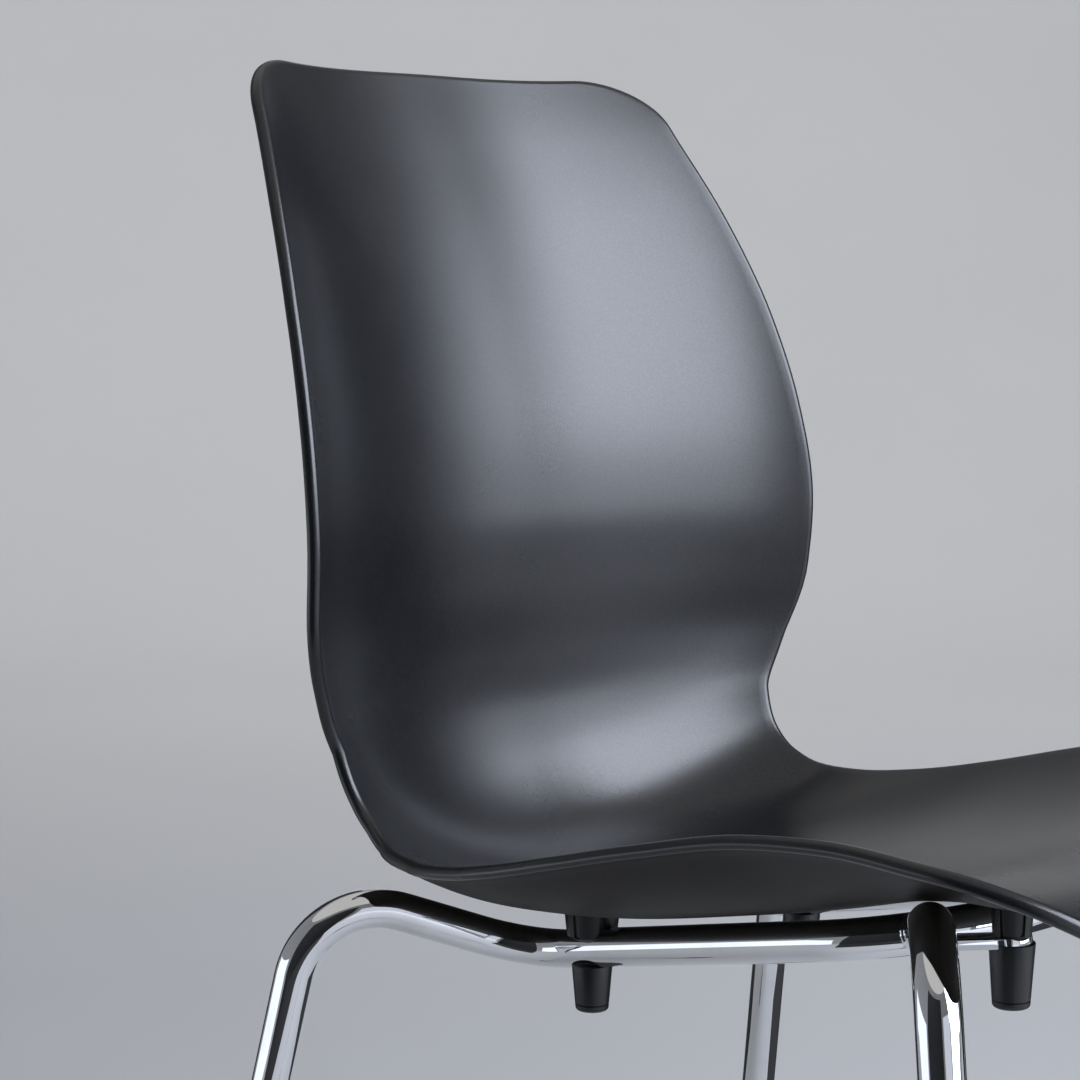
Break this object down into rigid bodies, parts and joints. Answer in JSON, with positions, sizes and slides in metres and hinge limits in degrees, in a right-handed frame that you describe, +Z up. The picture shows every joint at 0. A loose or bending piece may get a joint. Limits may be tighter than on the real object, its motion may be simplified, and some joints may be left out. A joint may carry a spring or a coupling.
{
  "type": "stacking choir chair",
  "caption": "Black moulded shell chair on a chromed bent-tube frame with four splayed legs, made to stack.",
  "frame": {"origin": "on the floor, under the middle of the chair's bounding box", "axes": "+Z up; the sitter faces -Y; +X is the sitter's left; the chair is alike on both sides of X = 0"},
  "size_m": [0.5012, 0.606, 0.8403],
  "materials": {
    "shell_plastic": "satin",
    "chrome": "polished",
    "black_plastic": "satin",
    "zinc_steel": "zinc plated",
    "brass": "turned"
  },
  "bodies": {
    "root": {"seat_shell": "shell_plastic", "main_frame_tube": "chrome", "front_leg_right": "chrome", "front_bar_right": "chrome", "front_glide_right": "black_plastic", "rear_glide_right": "black_plastic", "front_leg_left": "chrome", "front_bar_left": "chrome", "front_glide_left": "black_plastic", "rear_glide_left": "black_plastic", "stacking_buffer_rear_right": "black_plastic", "seat_screw_rear_right": "zinc_steel", "threaded_insert_rear_right": "brass", "stacking_buffer_rear_left": "black_plastic", "seat_screw_rear_left": "zinc_steel", "threaded_insert_rear_left": "brass", "stacking_buffer_front_right": "black_plastic", "seat_screw_front_right": "zinc_steel", "threaded_insert_front_right": "brass", "stacking_buffer_front_left": "black_plastic", "seat_screw_front_left": "zinc_steel", "threaded_insert_front_left": "brass"}
  },
  "joints": []
}
